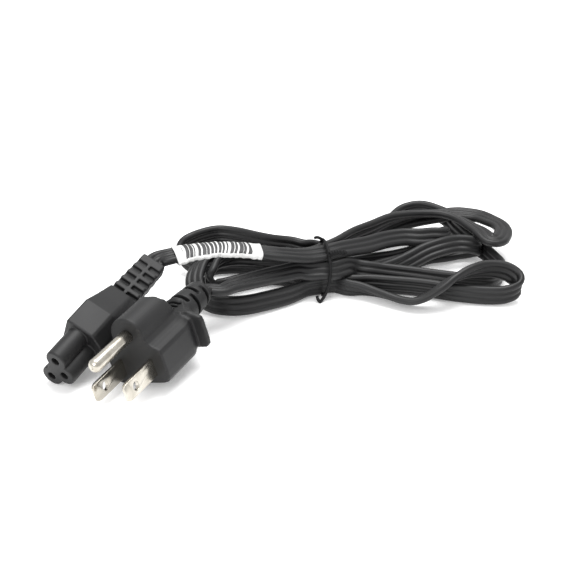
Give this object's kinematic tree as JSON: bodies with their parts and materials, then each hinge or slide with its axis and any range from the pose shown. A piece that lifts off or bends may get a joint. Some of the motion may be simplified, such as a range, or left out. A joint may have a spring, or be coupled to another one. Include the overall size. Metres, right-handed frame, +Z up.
{
  "type": "cloverleaf power cord",
  "caption": "Black flat power cord with a cloverleaf connector and a grounded plug, folded into a hank and tied.",
  "frame": {"origin": "on the floor under the middle of the box round the plug and the connector", "axes": "+Z up; the hank's long way is along +X, away from the plug and connector; the plug and connector point mostly towards -Y"},
  "size_m": [0.1738, 0.1492, 0.0305],
  "materials": {
    "moulded_pvc": "satin",
    "cord_pvc": "satin",
    "nickel_plate": "polished",
    "contact_metal": "satin",
    "label_paper": "matte",
    "tie_plastic": "matte"
  },
  "bodies": {
    "root": {"plug_housing": "moulded_pvc", "line_blade": "nickel_plate", "neutral_blade": "nickel_plate", "ground_pin": "nickel_plate", "connector_housing": "moulded_pvc", "line_contact": "contact_metal", "neutral_contact": "contact_metal", "earth_contact": "contact_metal", "cord_hank": "cord_pvc", "connector_tail": "cord_pvc", "plug_tail": "cord_pvc", "cord_label": "label_paper", "twist_tie": "tie_plastic"}
  },
  "joints": []
}
